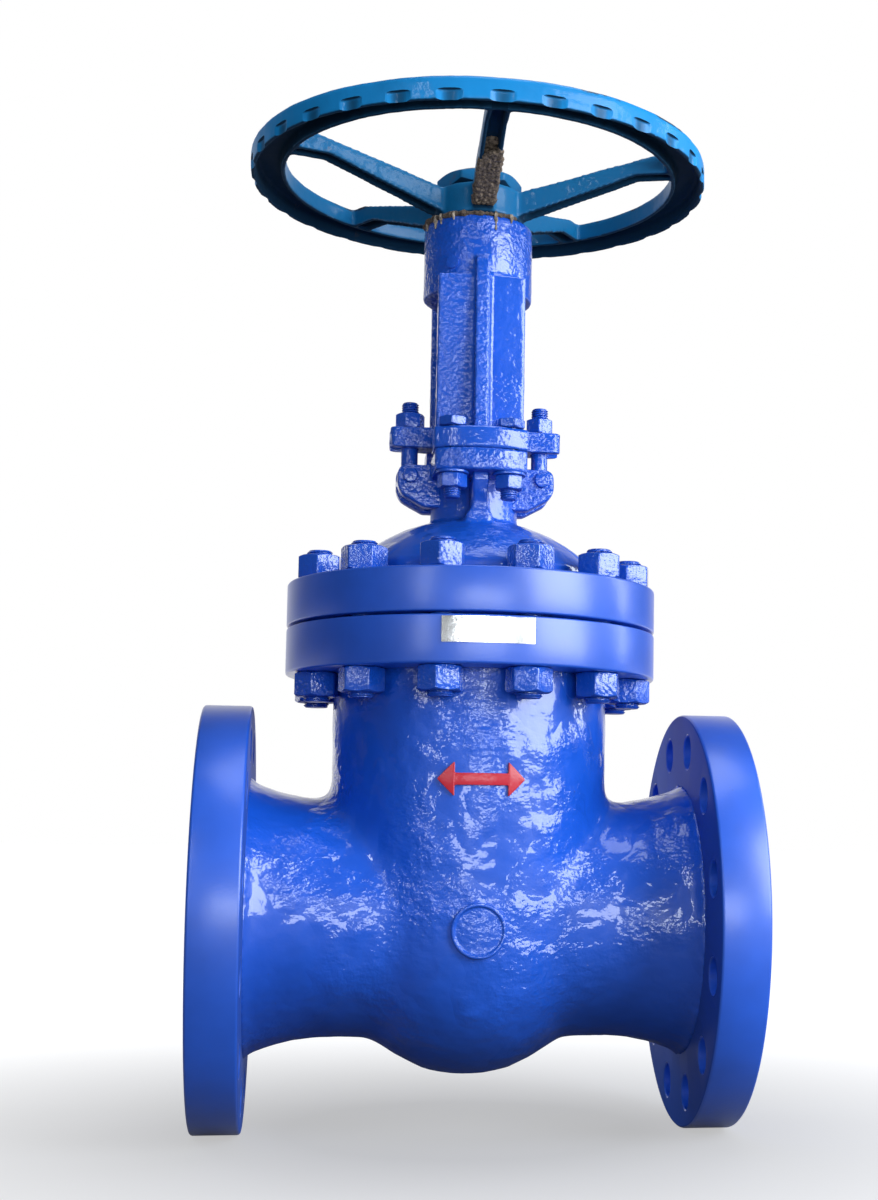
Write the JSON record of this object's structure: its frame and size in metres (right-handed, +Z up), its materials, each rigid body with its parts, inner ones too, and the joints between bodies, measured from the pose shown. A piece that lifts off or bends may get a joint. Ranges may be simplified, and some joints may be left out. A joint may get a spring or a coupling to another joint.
{
  "type": "wedge gate valve",
  "caption": "Flanged steel wedge gate valve with a bolted bonnet, an outside screw and yoke, a rising stem and a spoked handwheel; turning the wheel lifts the wedge.",
  "frame": {"origin": "centre of the inlet flange's raised face, on the pipe axis", "axes": "+X along the pipe from inlet to outlet, +Z up along the stem, +Y to the back of the valve as pictured"},
  "size_m": [0.55, 0.484, 1.018],
  "materials": {
    "body_paint": "glossy blue enamel over rough cast steel",
    "wheel_paint": "worn cyan-blue paint",
    "bare_steel": "bare steel, slightly dull",
    "seat_steel": "ground steel",
    "stem_steel": "polished and greased steel",
    "bronze": "machined bronze",
    "graphite": "dark graphite",
    "plate_metal": "bare bright sheet"
  },
  "bodies": {
    "valve": {"valve_body": "body_paint", "inlet_flange": "body_paint", "outlet_flange": "body_paint", "seat_ring_inlet": "seat_steel", "seat_ring_outlet": "seat_steel", "bonnet_gasket": "graphite", "bonnet": "body_paint", "backseat_bushing": "bronze", "bonnet_studs": "body_paint", "bonnet_nuts_upper": "body_paint", "bonnet_nuts_lower": "body_paint", "packing": "graphite", "gland_follower": "bronze", "gland_flange": "body_paint", "gland_eyebolts": "body_paint", "eyebolt_pins": "body_paint", "eyebolt_nuts": "body_paint", "yoke": "body_paint", "yoke_bolts": "body_paint", "yoke_washers": "body_paint", "yoke_nuts": "body_paint", "thrust_bearings": "bare_steel", "bearing_cap": "bare_steel", "grease_plug": "bare_steel", "nameplate": "plate_metal", "nameplate_rivets": "plate_metal"},
    "wheel_and_nut": {"stem_nut": "bronze", "wheel_key": "bare_steel", "handwheel": "wheel_paint", "handwheel_nut": "bare_steel"},
    "stem_and_wedge": {"stem": "stem_steel", "wedge": "seat_steel"}
  },
  "joints": [
    {"name": "handwheel_turn", "type": "hinge", "parent": "valve", "child": "wheel_and_nut", "pos_m": [0.275, 0, 0.755], "axis": [0, 0, 1], "range_deg": [0, 9449]},
    {"name": "stem_rise", "type": "slide", "parent": "valve", "child": "stem_and_wedge", "axis": [0, 0, 1], "range_m": [0, 0.21]}
  ],
  "couplings": [
    {"joint": "stem_rise", "follows": "handwheel_turn", "m_per_rad": 0.0012732}
  ]
}
